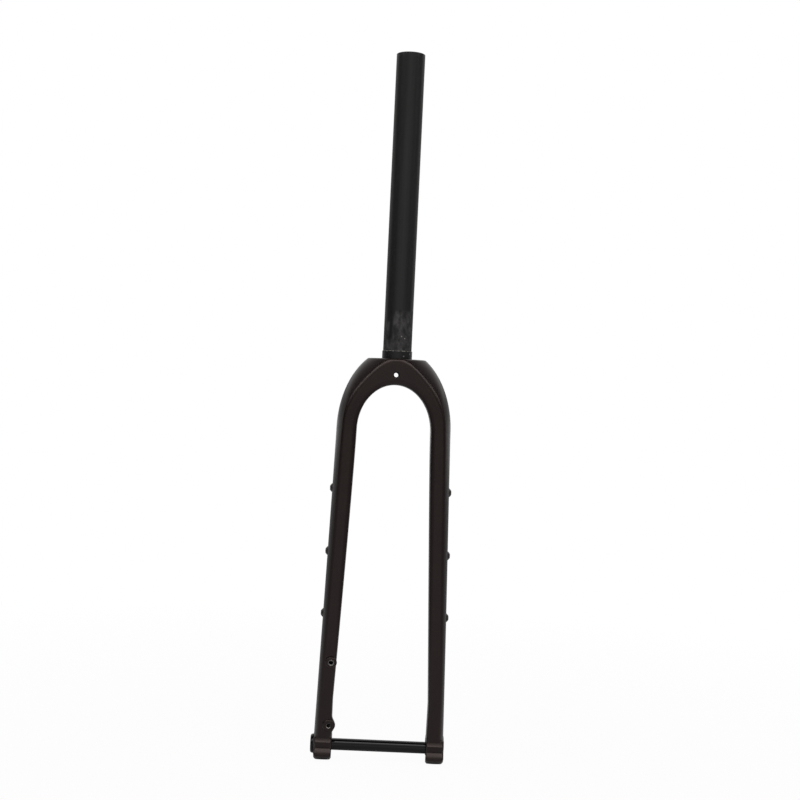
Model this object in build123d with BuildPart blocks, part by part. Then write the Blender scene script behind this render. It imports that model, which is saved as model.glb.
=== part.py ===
# Rigid bicycle fork: a straight steerer, a moulded crown arch with two swept legs, bonded dropouts,
# a thru-axle with its nut, three cage bolts on each leg and two brake mount holes on the left leg.
# X points to the bicycle's right, Y forward and Z up the steerer, in millimetres.
# The origin is the middle of the crown's race face.

import os
from math import asin, cos, pi, sin, sqrt

from build123d import *

os.makedirs("parts", exist_ok=True)

# Steerer tube and crown race seat
steerer_diameter = 28.6
steerer_wall = 2.8
steerer_length = 305.0  # above the crown's race face
steerer_edge = 0.4  # bevel round the tube's sawn top
foot_step = 0.4  # tube's bonded foot ground down from its full radius
socket_floor = 5.0  # crown left under the steerer's end, at the arch's highest point
race_seat_wall = 0.7
race_seat_height = 8.0
bond_gap = 0.05  # adhesive film round each bonded piece

# Crown arch, seen from behind as ellipses about one centre
arch_drop = 72.0  # race face down to the ellipses' centre
crown_height = 25.6  # race face down to the arch's highest point
arch_half_width = 36.9
leg_width = 20.5  # at the ellipses' centre
shoulder_rise = 12.5  # outer ellipse's crest above the race face, which cuts it off flat
crown_depth = 44.0
crown_vent_diameter = 14.0
fender_hole_diameter = 6.0
fender_hole_drop = 16.0

# Legs, swept forward along one arc from the ellipses' centre to the axle
axle_drop = 400.0
rake = 45.0
leg_depth_top = 38.0
leg_depth_end = 25.0
leg_bow = 1.15  # how late the legs spread, as a power of the way down
parallel_share = 0.85  # of the way down, where the legs' inner sides become parallel

# Section of the crown and legs
inner_corner = 3.5
ridge_share_crown = 0.66  # of the section's width, from the inner side to the rear band's ridge
ridge_share_end = 0.80
ridge_half_width = 1.2
groove_crown = 2.0  # step down from the rear band to the outer shoulder
groove_end = 0.7
widest_share = 0.08  # of the depth, from the section's middle forward to its widest line
inner_flat_share = 0.22  # of the depth, from the section's middle forward to the inner flat's end
nose_share = 0.45  # of the width, from the inner side to the front nose

# Dropouts
hub_width = 100.0
hub_recess_depth = 1.25
hub_recess_diameter = 21.0
dropout_width = 18.5
boss_radius = 15.4
boss_outer_bevel = 2.4
boss_inner_bevel = 0.9
neck_overlap = 10.0  # length of neck that runs on into the round boss
tang_width = 9.0
tang_depth = 9.0
tang_length = 28.0
tang_forward = 3.5  # tang's middle in front of the leg's middle
tang_round = 2.0

# Thru-axle and nut
axle_diameter = 12.0
axle_clearance = 0.05
axle_head_diameter = 19.3
axle_head_height = 3.7
axle_head_bevel = 0.8
axle_socket = 6.0  # hexagon across flats
axle_socket_depth = 7.0
axle_end_inset = 1.0  # axle's end inside the nut's outer face
axle_end_bevel = 1.0
nut_wall = 2.6
nut_flange = 2.0  # flange's height, and how far it stands out round the nut's body

# Cage bolts and their inserts
cage_drop = 196.0  # race face down to the middle bolts
cage_pitch = 64.0
cage_sink = 0.5  # bolts' seats below the leg's widest line
bolt_diameter = 5.0
bolt_length = 10.0
bolt_head_diameter = 9.5
bolt_head_height = 2.75
bolt_head_flat = 5.6
bolt_shoulder_diameter = 8.6  # where the button head's two slopes meet
bolt_shoulder_height = 1.5
bolt_socket = 3.0  # hexagon across flats
bolt_socket_depth = 1.7
spot_clearance = 0.75  # spot face round the bolt's head
insert_wall = 1.6
insert_length = 12.0
thread_clearance = 0.05

# Brake mount on the back of the left leg
brake_pitch = 70.0
brake_outboard = 2.0  # holes outside the hub's left end
brake_rise = 23.5  # lower hole above the axle
brake_pad_radius = 6.6
brake_pad_proud = 1.6
brake_pad_length = 15.0
brake_pad_taper = 14.0  # pads narrow forwards into the leg, in degrees
brake_tap_diameter = 4.2
brake_insert_wall = 1.1
brake_insert_length = 11.0

# Sizes that follow from the ones above
steerer_radius = steerer_diameter / 2
foot_radius = steerer_radius - foot_step
socket_depth = crown_height - socket_floor
arch_rise = arch_drop - crown_height
shoulder_height = arch_drop + shoulder_rise
outer_half_width = arch_half_width + leg_width
lip_half_gap = hub_width / 2 - hub_recess_depth
sweep_height = axle_drop - arch_drop
sweep_radius = (sweep_height**2 + rake**2) / (2 * rake)
leg_end_drop = axle_drop - boss_radius
dropout_outer = lip_half_gap + dropout_width
axle_length = 2 * dropout_outer - axle_end_inset
nut_length = dropout_outer - hub_width / 2
axle_radius = axle_diameter / 2
nut_radius = axle_radius + axle_clearance + nut_wall
bolt_radius = bolt_diameter / 2
insert_radius = bolt_radius + thread_clearance + insert_wall
brake_offset = hub_width / 2 + brake_outboard
brake_insert_radius = brake_tap_diameter / 2 + brake_insert_wall


def sweep_share(drop):
    # Share of the way from the ellipses' centre down to the axle
    return (drop - arch_drop) / sweep_height


def leg_middle(drop):
    # Fore and aft middle of a leg, on the sweep's arc
    return sweep_radius - sqrt(sweep_radius**2 - (drop - arch_drop) ** 2)


def leg_depth(drop):
    return leg_depth_top + (leg_depth_end - leg_depth_top) * sweep_share(drop)


def leg_inner(drop):
    spread = min(sweep_share(drop) / parallel_share, 1) ** leg_bow
    return arch_half_width + (lip_half_gap - arch_half_width) * spread


def leg_outer(drop):
    spread = sweep_share(drop) ** leg_bow
    return outer_half_width + (dropout_outer - outer_half_width) * spread


def blade_outline(width, depth, ridge_share, groove):
    # Section with its inner side on the left and the rear at the top: a flat inner side, a flat rear band
    # up to the ridge, a step down beside it, then a round shoulder and a round front
    rear = depth / 2
    front = -depth / 2
    widest = -depth * widest_share
    flat_end = -depth * inner_flat_share
    nose = width * nose_share
    before = width * ridge_share - ridge_half_width
    after = width * ridge_share + ridge_half_width
    bed = rear - groove
    Line((0, flat_end), (0, rear - inner_corner))
    CenterArc((inner_corner, rear - inner_corner), inner_corner, 90, 90)
    Line((inner_corner, rear), (before, rear))
    Line((before, rear), (after, bed))
    EllipticalCenterArc((after, widest), width - after, bed - widest)
    EllipticalCenterArc((nose, widest), width - nose, widest - front, start_angle=270)
    EllipticalCenterArc((nose, flat_end), nose, flat_end - front, start_angle=180)


def leg_plane(side, drop):
    # Level plane across a leg, with its X outwards and its Y to the rear
    start = (side * leg_inner(drop), leg_middle(drop), -drop)
    return Plane(origin=start, x_dir=(side, 0, 0), z_dir=(0, 0, -side))


def leg_outline(drop):
    share = sweep_share(drop)
    ridge_share = ridge_share_crown + (ridge_share_end - ridge_share_crown) * share
    groove = groove_crown + (groove_end - groove_crown) * share
    blade_outline(leg_outer(drop) - leg_inner(drop), leg_depth(drop), ridge_share, groove)


# Stations round the arch from left to right, and down each leg
arch_steps = 10
arch_angles = [pi * (1 - step / arch_steps) for step in range(arch_steps + 1)]
leg_steps = 6
leg_drops = [arch_drop + (leg_end_drop - arch_drop) * step / leg_steps for step in range(leg_steps + 1)]

# Brake mount: a seat plane behind the left leg, through two holes that lie along it
brake_lower_drop = axle_drop - brake_rise
brake_upper_drop = brake_lower_drop - brake_pitch


def leg_rear(drop):
    return leg_middle(drop) - leg_depth(drop) / 2


brake_tilt = asin((leg_rear(brake_lower_drop) - leg_rear(brake_upper_drop)) / brake_pitch)
brake_normal = Vector(0, -cos(brake_tilt), -sin(brake_tilt))
brake_down = Vector(0, sin(brake_tilt), -cos(brake_tilt))
brake_foot = Vector(-brake_offset, leg_rear(brake_lower_drop), -brake_lower_drop)
brake_lower = brake_foot + brake_normal * brake_pad_proud
brake_upper = brake_lower - brake_down * brake_pitch
brake_planes = {
    "upper": Plane(origin=brake_upper, x_dir=(1, 0, 0), z_dir=brake_normal),
    "lower": Plane(origin=brake_lower, x_dir=(1, 0, 0), z_dir=brake_normal),
}

# Cage bolt seats on the legs' outer sides
cage_drops = {"upper": cage_drop - cage_pitch, "middle": cage_drop, "lower": cage_drop + cage_pitch}
sides = {"left": -1, "right": 1}


def cage_plane(side, drop):
    seat = leg_outer(drop) - cage_sink
    forward = leg_middle(drop) + leg_depth(drop) * widest_share
    return Plane(origin=(side * seat, forward, -drop), x_dir=(0, 1, 0), z_dir=(side, 0, 0))


def tang_plane(side):
    # Leg's end face, at the tang's middle
    middle = (leg_inner(leg_end_drop) + leg_outer(leg_end_drop)) / 2
    return Plane(origin=(side * middle, leg_middle(leg_end_drop) + tang_forward, -leg_end_drop))


def axle_plane(side):
    # Upright plane through the axle, with its X outwards and its Y up
    return Plane(origin=(0, rake, -axle_drop), x_dir=(side, 0, 0), z_dir=(0, -side, 0))


def hub_plane(side):
    # Seat of the hub's end on a dropout, facing the fork's middle
    return Plane(origin=(side * hub_width / 2, rake, -axle_drop), x_dir=(0, 1, 0), z_dir=(-side, 0, 0))


axle_axis = Axis((0, rake, -axle_drop), (1, 0, 0))
fender_plane = Plane(origin=(0, 0, -fender_hole_drop), x_dir=(1, 0, 0), z_dir=(0, -1, 0))
tang_direction = Vector(0, -(leg_end_drop - arch_drop) / sweep_radius, 1)

# Steerer tube, sawn square at the top, with its bonded foot ground down
with BuildPart() as steerer_tube:
    with BuildSketch(Plane.XY.offset(-socket_depth)):
        Circle(foot_radius)
    extrude(amount=socket_depth + race_seat_height)
    with BuildSketch(Plane.XY.offset(race_seat_height)):
        Circle(steerer_radius)
    extrude(amount=steerer_length - race_seat_height)
    with BuildSketch(Plane.XY.offset(-socket_depth)):
        Circle(steerer_radius - steerer_wall)
    extrude(amount=socket_depth + steerer_length, mode=Mode.SUBTRACT)
    chamfer(steerer_tube.edges().filter_by(GeomType.CIRCLE).group_by(Axis.Z)[-1], steerer_edge)
    with BuildSketch(fender_plane):
        Circle(fender_hole_diameter / 2)
    extrude(amount=crown_depth, both=True, mode=Mode.SUBTRACT)
steerer_tube.part.label = "steerer_tube"
export_step(steerer_tube.part, "parts/steerer_tube.step")

# Crown race seat, a ring round the steerer's foot, under the tube's shoulder
with BuildPart() as crown_race_seat:
    with BuildSketch(Plane.XY):
        Circle(steerer_radius + race_seat_wall)
        Circle(foot_radius + bond_gap, mode=Mode.SUBTRACT)
    extrude(amount=race_seat_height)
crown_race_seat.part.label = "crown_race_seat"
export_step(crown_race_seat.part, "parts/crown_race_seat.step")

# Crown and legs, one moulding: the arch, cut flat under the race seat, then both legs
with BuildPart() as crown_and_legs:
    for angle in arch_angles:
        inner_point = Vector(arch_half_width * cos(angle), 0, arch_rise * sin(angle) - arch_drop)
        outer_point = Vector(outer_half_width * cos(angle), 0, shoulder_height * sin(angle) - arch_drop)
        across = outer_point - inner_point
        depth = leg_depth_top + (crown_depth - leg_depth_top) * sin(angle)
        with BuildSketch(Plane(origin=inner_point, x_dir=across, z_dir=across.cross(Vector(0, -1, 0)))):
            with BuildLine():
                blade_outline(across.length, depth, ridge_share_crown, groove_crown)
            make_face()
    loft()
    with BuildSketch(Plane.XY):
        Rectangle(2 * outer_half_width, 2 * crown_depth)
    extrude(amount=2 * shoulder_rise, mode=Mode.SUBTRACT)
    for side in sides.values():
        for drop in leg_drops:
            with BuildSketch(leg_plane(side, drop)):
                with BuildLine():
                    leg_outline(drop)
                make_face()
        loft(ruled=True)
    with BuildSketch(Plane.XY):
        Circle(foot_radius + bond_gap)
    extrude(amount=-socket_depth, mode=Mode.SUBTRACT)
    with BuildSketch(Plane.XY):
        Circle(crown_vent_diameter / 2)
    extrude(amount=-arch_drop, mode=Mode.SUBTRACT)
    with BuildSketch(fender_plane):
        Circle(fender_hole_diameter / 2)
    extrude(amount=crown_depth, both=True, mode=Mode.SUBTRACT)
    for plane in brake_planes.values():
        with BuildSketch(plane):
            Circle(brake_pad_radius)
        extrude(amount=-brake_pad_length, taper=brake_pad_taper)
        with BuildSketch(plane):
            Circle(brake_insert_radius + bond_gap)
        extrude(amount=-brake_insert_length, mode=Mode.SUBTRACT)
    for side in sides.values():
        for drop in cage_drops.values():
            with BuildSketch(cage_plane(side, drop)):
                Circle(bolt_head_diameter / 2 + spot_clearance)
            extrude(amount=leg_width, mode=Mode.SUBTRACT)
            with BuildSketch(cage_plane(side, drop)):
                Circle(insert_radius + bond_gap)
            extrude(amount=-insert_length, mode=Mode.SUBTRACT)
        with BuildSketch(tang_plane(side)):
            RectangleRounded(tang_width + 2 * bond_gap, tang_depth + 2 * bond_gap, tang_round + bond_gap)
        extrude(amount=tang_length + bond_gap, dir=tang_direction, mode=Mode.SUBTRACT)
crown_and_legs.part.label = "crown_and_legs"
export_step(crown_and_legs.part, "parts/crown_and_legs.step")

# Dropouts, each a round boss on a neck with a tang up into the leg
for name, side in sides.items():
    with BuildPart() as dropout:
        for drop in (leg_end_drop, leg_end_drop + neck_overlap):
            with BuildSketch(leg_plane(side, drop)):
                with BuildLine():
                    leg_outline(drop)
                make_face()
        loft(ruled=True)
        with BuildSketch(axle_plane(side)):
            with Locations((lip_half_gap, 0)):
                Rectangle(dropout_width, boss_radius, align=Align.MIN)
            chamfer(vertices().group_by(Axis.Y)[-1].sort_by(Axis.X)[0], boss_inner_bevel)
            chamfer(vertices().group_by(Axis.Y)[-1].sort_by(Axis.X)[-1], boss_outer_bevel)
        revolve(axis=axle_axis)
        with BuildSketch(tang_plane(side)):
            RectangleRounded(tang_width, tang_depth, tang_round)
        extrude(amount=tang_length, dir=tang_direction)
        with BuildSketch(hub_plane(side)):
            Circle(hub_recess_diameter / 2)
            with Locations((0, side * boss_radius / 2)):
                Rectangle(hub_recess_diameter, boss_radius)
        extrude(amount=hub_width / 2, mode=Mode.SUBTRACT)
        with BuildSketch(hub_plane(side)):
            Circle(nut_radius + bond_gap if side > 0 else axle_radius + axle_clearance)
        extrude(amount=-hub_width, mode=Mode.SUBTRACT)
        if side > 0:
            with BuildSketch(hub_plane(side).offset(-nut_length)):
                Circle(nut_radius + nut_flange + bond_gap)
            extrude(amount=nut_flange, mode=Mode.SUBTRACT)
    dropout.part.label = f"{name}_dropout"
    export_step(dropout.part, f"parts/{name}_dropout.step")

# Thru-axle, turned with a low head at the left
with BuildPart() as thru_axle:
    with BuildSketch(axle_plane(-1)):
        with Locations((dropout_outer, 0)):
            Rectangle(axle_head_height, axle_head_diameter / 2, align=Align.MIN)
        chamfer(vertices().group_by(Axis.Y)[-1], axle_head_bevel)
    revolve(axis=axle_axis)
    with BuildSketch(axle_plane(1)):
        with Locations((-dropout_outer, 0)):
            Rectangle(axle_length, axle_radius, align=Align.MIN)
        chamfer(vertices().group_by(Axis.Y)[-1].sort_by(Axis.X)[-1], axle_end_bevel)
    revolve(axis=axle_axis)
    with BuildSketch(hub_plane(1).offset(hub_width / 2 + dropout_outer + axle_head_height)):
        RegularPolygon(axle_socket / 2, 6, major_radius=False)
    extrude(amount=-axle_socket_depth, mode=Mode.SUBTRACT)
thru_axle.part.label = "thru_axle"
export_step(thru_axle.part, "parts/thru_axle.step")

# Axle nut, a threaded sleeve with its flange sunk in the right dropout's outer face
with BuildPart() as axle_nut:
    with BuildSketch(hub_plane(1)):
        Circle(nut_radius)
        Circle(axle_radius + axle_clearance, mode=Mode.SUBTRACT)
    extrude(amount=-nut_length)
    with BuildSketch(hub_plane(1).offset(-nut_length)):
        Circle(nut_radius + nut_flange)
        Circle(axle_radius + axle_clearance, mode=Mode.SUBTRACT)
    extrude(amount=nut_flange)
axle_nut.part.label = "axle_nut"
export_step(axle_nut.part, "parts/axle_nut.step")

# Cage inserts and their button head bolts
for name, side in sides.items():
    for level, drop in cage_drops.items():
        seat = cage_plane(side, drop)
        with BuildPart() as cage_insert:
            with BuildSketch(seat):
                Circle(insert_radius)
                Circle(bolt_radius + thread_clearance, mode=Mode.SUBTRACT)
            extrude(amount=-insert_length)
        cage_insert.part.label = f"cage_insert_{name}_{level}"
        export_step(cage_insert.part, f"parts/cage_insert_{name}_{level}.step")

        with BuildPart() as cage_bolt:
            with BuildSketch(Plane(origin=seat.origin, x_dir=seat.z_dir, z_dir=seat.x_dir)):
                with BuildLine():
                    head = Polyline(
                        (0, bolt_head_diameter / 2),
                        (bolt_shoulder_height, bolt_shoulder_diameter / 2),
                        (bolt_head_height, bolt_head_flat / 2),
                        (bolt_head_height, 0),
                    )
                    Polyline(head @ 1, (-bolt_length, 0), (-bolt_length, bolt_radius))
                    Polyline((-bolt_length, bolt_radius), (0, bolt_radius), head @ 0)
                make_face()
            revolve(axis=Axis(seat.origin, seat.z_dir))
            with BuildSketch(seat.offset(bolt_head_height)):
                RegularPolygon(bolt_socket / 2, 6, major_radius=False)
            extrude(amount=-bolt_socket_depth, mode=Mode.SUBTRACT)
        cage_bolt.part.label = f"cage_bolt_{name}_{level}"
        export_step(cage_bolt.part, f"parts/cage_bolt_{name}_{level}.step")

# Brake inserts, threaded sleeves in the left leg's pads
for level, plane in brake_planes.items():
    with BuildPart() as brake_insert:
        with BuildSketch(plane):
            Circle(brake_insert_radius)
            Circle(brake_tap_diameter / 2, mode=Mode.SUBTRACT)
        extrude(amount=-brake_insert_length)
    brake_insert.part.label = f"brake_insert_{level}"
    export_step(brake_insert.part, f"parts/brake_insert_{level}.step")
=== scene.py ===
import bpy
import math
import numpy as np
from mathutils import Matrix, Vector


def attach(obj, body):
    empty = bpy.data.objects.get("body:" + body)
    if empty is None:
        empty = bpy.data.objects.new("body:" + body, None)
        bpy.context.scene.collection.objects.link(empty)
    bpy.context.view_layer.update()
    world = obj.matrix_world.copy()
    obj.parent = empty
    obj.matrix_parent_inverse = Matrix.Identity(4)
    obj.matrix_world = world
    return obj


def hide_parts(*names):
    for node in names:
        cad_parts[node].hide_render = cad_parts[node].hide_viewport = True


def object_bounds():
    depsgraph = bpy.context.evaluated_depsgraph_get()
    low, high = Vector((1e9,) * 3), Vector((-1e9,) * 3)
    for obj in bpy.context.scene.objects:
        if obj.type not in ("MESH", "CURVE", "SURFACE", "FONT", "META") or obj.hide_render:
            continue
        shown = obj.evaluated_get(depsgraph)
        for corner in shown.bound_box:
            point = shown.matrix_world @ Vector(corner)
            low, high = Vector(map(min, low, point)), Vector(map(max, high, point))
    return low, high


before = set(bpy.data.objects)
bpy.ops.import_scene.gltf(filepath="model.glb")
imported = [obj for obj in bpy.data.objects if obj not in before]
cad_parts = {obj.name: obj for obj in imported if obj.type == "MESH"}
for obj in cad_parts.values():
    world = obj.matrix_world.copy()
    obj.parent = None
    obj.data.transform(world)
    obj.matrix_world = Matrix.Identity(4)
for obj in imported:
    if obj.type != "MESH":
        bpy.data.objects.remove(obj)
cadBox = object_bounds()
mm = 0.001


def toLinear(hexColour):
    # sRGB hex to linear: dark values are divided by 12.92, the rest follow a 2.4 power
    parts = np.array([int(hexColour[i:i + 2], 16) for i in (1, 3, 5)]) / 255
    linear = np.where(parts <= 0.04045, parts / 12.92, ((parts + 0.055) / 1.055) ** 2.4)
    return tuple(float(v) for v in linear) + (1.0,)


def greys(stops):
    return [(place, (value, value, value, 1)) for place, value in stops]


def addNode(tree, kind, settings=None, links=None):
    # settings fill inputs or properties by name or number, stops fill a colour ramp, links join sockets
    node = tree.nodes.new(kind)
    for key, value in (settings or {}).items():
        if key == "stops":
            ramp = node.color_ramp.elements
            while len(ramp) < len(value):
                ramp.new(0.5)
            for stop, (place, colour) in zip(ramp, value):
                stop.position = place
                stop.color = colour
        elif isinstance(key, int) or key in node.inputs:
            node.inputs[key].default_value = value
        else:
            setattr(node, key, value)
    for key, socket in (links or {}).items():
        tree.links.new(socket, node.inputs[key])
    return node


def startMaterial(name, settings):
    # a material with its own shader and the piece's Object coordinates
    material = bpy.data.materials.new(name)
    material.use_nodes = True
    tree = material.node_tree
    shader = tree.nodes["Principled BSDF"]
    for key, value in settings.items():
        shader.inputs[key].default_value = value
    place = addNode(tree, "ShaderNodeTexCoord").outputs["Object"]
    return material, tree, shader, place


def outward(mesh):
    # six times the volume is the sum of a . (b x c) over the triangles, and negative when inside out
    mesh.calc_loop_triangles()
    corners = np.empty(len(mesh.loop_triangles) * 3, dtype=np.int32)
    mesh.loop_triangles.foreach_get("vertices", corners)
    points = np.empty(len(mesh.vertices) * 3, dtype=np.float32)
    mesh.vertices.foreach_get("co", points)
    a, b, c = points.reshape(-1, 3)[corners.reshape(-1, 3)].transpose(1, 0, 2)
    if np.einsum("ij,ij->", a, np.cross(b, c)) < 0:
        mesh.flip_normals()
    return mesh


def gridMesh(name, grid, ringLoop=False):
    # grid[i, j] is point j of ring i in mm; quads join each ring to the next and the end rings are capped,
    # or the last ring runs on into the first
    rings, around = grid.shape[:2]
    index = np.arange(rings * around).reshape(rings, around)
    here = index if ringLoop else index[:-1]
    there = np.roll(index, -1, axis=0) if ringLoop else index[1:]
    quads = np.stack([here, np.roll(here, -1, 1), np.roll(there, -1, 1), there], axis=-1).reshape(-1, 4).tolist()
    caps = [] if ringLoop else [index[0, ::-1].tolist(), index[-1].tolist()]
    mesh = bpy.data.meshes.new(name)
    mesh.from_pydata((grid.reshape(-1, 3) * mm).tolist(), [], quads + caps)
    return outward(mesh)


def arc(middleR, middleH, size, start, end, count):
    # points of part of a circle, as radius and height
    turn = np.radians(np.linspace(start, end, count))
    return np.stack([middleR + size * np.cos(turn), middleH + size * np.sin(turn)], axis=-1)


def spun(profile, origin, axis, across, around=96, hexRings=0, hexFlats=0):
    # ring i is a circle of radius profile[i, 0] at height profile[i, 1] along the axis; the first hexRings rings
    # are hexagons instead, whose radius is half the flats over the cosine of the angle from the nearest flat
    axis = np.array(axis, float) / np.linalg.norm(axis)
    across = np.array(across, float) - axis * np.dot(axis, across)
    across /= np.linalg.norm(across)
    third = np.cross(axis, across)
    turn = np.arange(around) * 2 * np.pi / around
    radius = np.repeat(np.asarray(profile)[:, :1], around, axis=1)
    fromFlat = (turn + np.pi / 6) % (np.pi / 3) - np.pi / 6
    radius[:hexRings] = hexFlats / 2 / np.cos(fromFlat)
    height = np.asarray(profile)[:, 1, None, None]
    ring = radius[..., None] * (np.cos(turn)[:, None] * across + np.sin(turn)[:, None] * third)
    return np.array(origin, float) + ring + height * axis


def rod(radius, low, high, origin, axis, around=64):
    profile = np.array([[radius, low], [radius, high]])
    return gridMesh("rod", spun(profile, origin, axis, (axis[1], axis[2], axis[0]), around))


def carve(mesh, tools, operation="DIFFERENCE"):
    # each tool is cut from the mesh, or joined to it, and the result is kept as a plain mesh
    body = bpy.data.objects.new("carved", mesh)
    bpy.context.scene.collection.objects.link(body)
    helpers = [bpy.data.objects.new("tool", tool) for tool in tools]
    for helper in helpers:
        bpy.context.scene.collection.objects.link(helper)
        cut = body.modifiers.new("cut", "BOOLEAN")
        cut.operation, cut.solver, cut.object = operation, "MANIFOLD", helper
    result = bpy.data.meshes.new_from_object(body.evaluated_get(bpy.context.evaluated_depsgraph_get()))
    for leftover in (body, *helpers):
        bpy.data.objects.remove(leftover)
    return result


def addPiece(name, mesh, material, node, sharpAngle=32):
    mesh.name = name
    mesh.materials.clear()
    mesh.materials.append(material)
    mesh.shade_smooth()
    mesh.set_sharp_from_angle(angle=math.radians(sharpAngle))
    piece = bpy.data.objects.new(name, mesh)
    bpy.context.scene.collection.objects.link(piece)
    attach(piece, "root")
    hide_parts(node)
    print(f"{name}: {sum(len(p.vertices) - 2 for p in mesh.polygons)} triangles")


# Matte paint on moulded carbon: brown-black, broad soft sheen, faint orange peel and cloudy tone
paint, tree, shader, place = startMaterial(
    "mattePaintOnCarbon", {"Specular IOR Level": 0.36, "Specular Tint": toLinear("#ffece9")})
cloud = addNode(tree, "ShaderNodeTexNoise", {"Scale": 1 / (28 * mm), "Detail": 3.0, "Roughness": 0.6},
                {"Vector": place})
peel = addNode(tree, "ShaderNodeTexNoise", {"Scale": 1 / (1.1 * mm), "Detail": 2.0},  # coarser than real
               {"Vector": place})
tone = addNode(tree, "ShaderNodeValToRGB", {"stops": [(0.3, toLinear("#0f0908")), (0.7, toLinear("#140c0b"))]},
               {"Fac": cloud.outputs["Fac"]})
tree.links.new(tone.outputs["Color"], shader.inputs["Base Color"])
rub = addNode(tree, "ShaderNodeMapRange", {"To Min": 0.26, "To Max": 0.32}, {"Value": cloud.outputs["Fac"]})
tree.links.new(rub.outputs["Result"], shader.inputs["Roughness"])
bump = addNode(tree, "ShaderNodeBump", {"Strength": 0.15, "Distance": 0.02 * mm}, {"Height": peel.outputs["Fac"]})
tree.links.new(bump.outputs["Normal"], shader.inputs["Normal"])

# Satin moulded carbon tube: neutral black with faint lengthways rubbing, sanded and scuffed grey round its foot,
# higher at the right than at the left, with a strip that was missed
scuff = {
    "step": (-7.5 * mm, -3.5 * mm), "tops": (37.5 * mm, 47.5 * mm), "rag": 9 * mm, "fringe": 0.8 * mm,
    "blotch": 5 * mm, "missed": -7.4 * mm, "missedHalf": (1.0 * mm, 2.6 * mm), "missedEnd": (14 * mm, 22 * mm),
    "specks": [(3.5 * mm, -13.9 * mm, 22.3 * mm), (6.6 * mm, -12.7 * mm, 20.4 * mm)],
    "speck": 0.45 * mm, "speckSoft": (1.5, 0.6),
}
satin, tree, shader, place = startMaterial("satinCarbonTube", {"Specular IOR Level": 0.36})
along = addNode(tree, "ShaderNodeSeparateXYZ", {}, {"Vector": place})
stretched = addNode(tree, "ShaderNodeMapping", {"Scale": (1.0, 1.0, 0.02)}, {"Vector": place})
streak = addNode(tree, "ShaderNodeTexNoise", {"Scale": 1 / (2.4 * mm), "Detail": 3.0},
                 {"Vector": stretched.outputs["Vector"]})
drawn = addNode(tree, "ShaderNodeMapping", {"Scale": (1.0, 1.0, 0.55)}, {"Vector": place})
blotch = addNode(tree, "ShaderNodeTexNoise", {"Scale": 1 / scuff["blotch"], "Detail": 6.0, "Roughness": 0.7},
                 {"Vector": drawn.outputs["Vector"]})
ragged = addNode(tree, "ShaderNodeMath", {"operation": "MULTIPLY_ADD", 1: scuff["rag"]},
                 {0: blotch.outputs["Fac"], 2: along.outputs["Z"]})
top = addNode(tree, "ShaderNodeMapRange", {"From Min": scuff["step"][0], "From Max": scuff["step"][1],
                                           "To Min": scuff["tops"][0], "To Max": scuff["tops"][1]},
              {"Value": along.outputs["X"]})
above = addNode(tree, "ShaderNodeMath", {"operation": "SUBTRACT"},
                {0: ragged.outputs["Value"], 1: top.outputs["Result"]})
zone = addNode(tree, "ShaderNodeMapRange", {"From Min": scuff["rag"] / 2 + scuff["fringe"],
                                            "From Max": scuff["rag"] / 2 - scuff["fringe"]},
               {"Value": above.outputs["Value"]})
aside = addNode(tree, "ShaderNodeMath", {"operation": "SUBTRACT", 1: scuff["missed"]}, {0: along.outputs["X"]})
aside = addNode(tree, "ShaderNodeMath", {"operation": "ABSOLUTE"}, {0: aside.outputs["Value"]})
beside = addNode(tree, "ShaderNodeMapRange", {"From Min": scuff["missedHalf"][0], "From Max": scuff["missedHalf"][1]},
                 {"Value": aside.outputs["Value"]})
below = addNode(tree, "ShaderNodeMapRange", {"From Min": scuff["missedEnd"][1], "From Max": scuff["missedEnd"][0]},
                {"Value": along.outputs["Z"]})
sanded = addNode(tree, "ShaderNodeMath", {"operation": "MAXIMUM"},
                 {0: beside.outputs["Result"], 1: below.outputs["Result"]})
zone = addNode(tree, "ShaderNodeMath", {"operation": "MULTIPLY"},
               {0: zone.outputs["Result"], 1: sanded.outputs["Value"]})
clean = addNode(tree, "ShaderNodeValToRGB", {"stops": [(0.3, toLinear("#0d0c0c")), (0.7, toLinear("#171616"))]},
                {"Fac": streak.outputs["Fac"]})
worn = addNode(tree, "ShaderNodeValToRGB", {"stops": [(0.4, toLinear("#0e0d0d")), (0.62, toLinear("#383636"))]},
               {"Fac": blotch.outputs["Fac"]})
tone = addNode(tree, "ShaderNodeMix", {"data_type": "RGBA"},
               {0: zone.outputs["Value"], 6: clean.outputs["Color"], 7: worn.outputs["Color"]})
for spot in scuff["specks"]:
    far = addNode(tree, "ShaderNodeVectorMath", {"operation": "DISTANCE", 1: spot}, {0: place})
    dot = addNode(tree, "ShaderNodeMapRange", {"From Min": scuff["speck"] * scuff["speckSoft"][0],
                                               "From Max": scuff["speck"] * scuff["speckSoft"][1]},
                  {"Value": far.outputs["Value"]})
    tone = addNode(tree, "ShaderNodeMix", {"data_type": "RGBA", 7: toLinear("#8a8783")},
                   {0: dot.outputs["Result"], 6: tone.outputs[2]})
tree.links.new(tone.outputs[2], shader.inputs["Base Color"])
dull = addNode(tree, "ShaderNodeMapRange", {"To Min": 0.36, "To Max": 0.55}, {"Value": zone.outputs["Value"]})
tree.links.new(dull.outputs["Result"], shader.inputs["Roughness"])
bump = addNode(tree, "ShaderNodeBump", {"Strength": 0.3, "Distance": 0.04 * mm}, {"Height": blotch.outputs["Fac"]})
tree.links.new(bump.outputs["Normal"], shader.inputs["Normal"])

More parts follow.
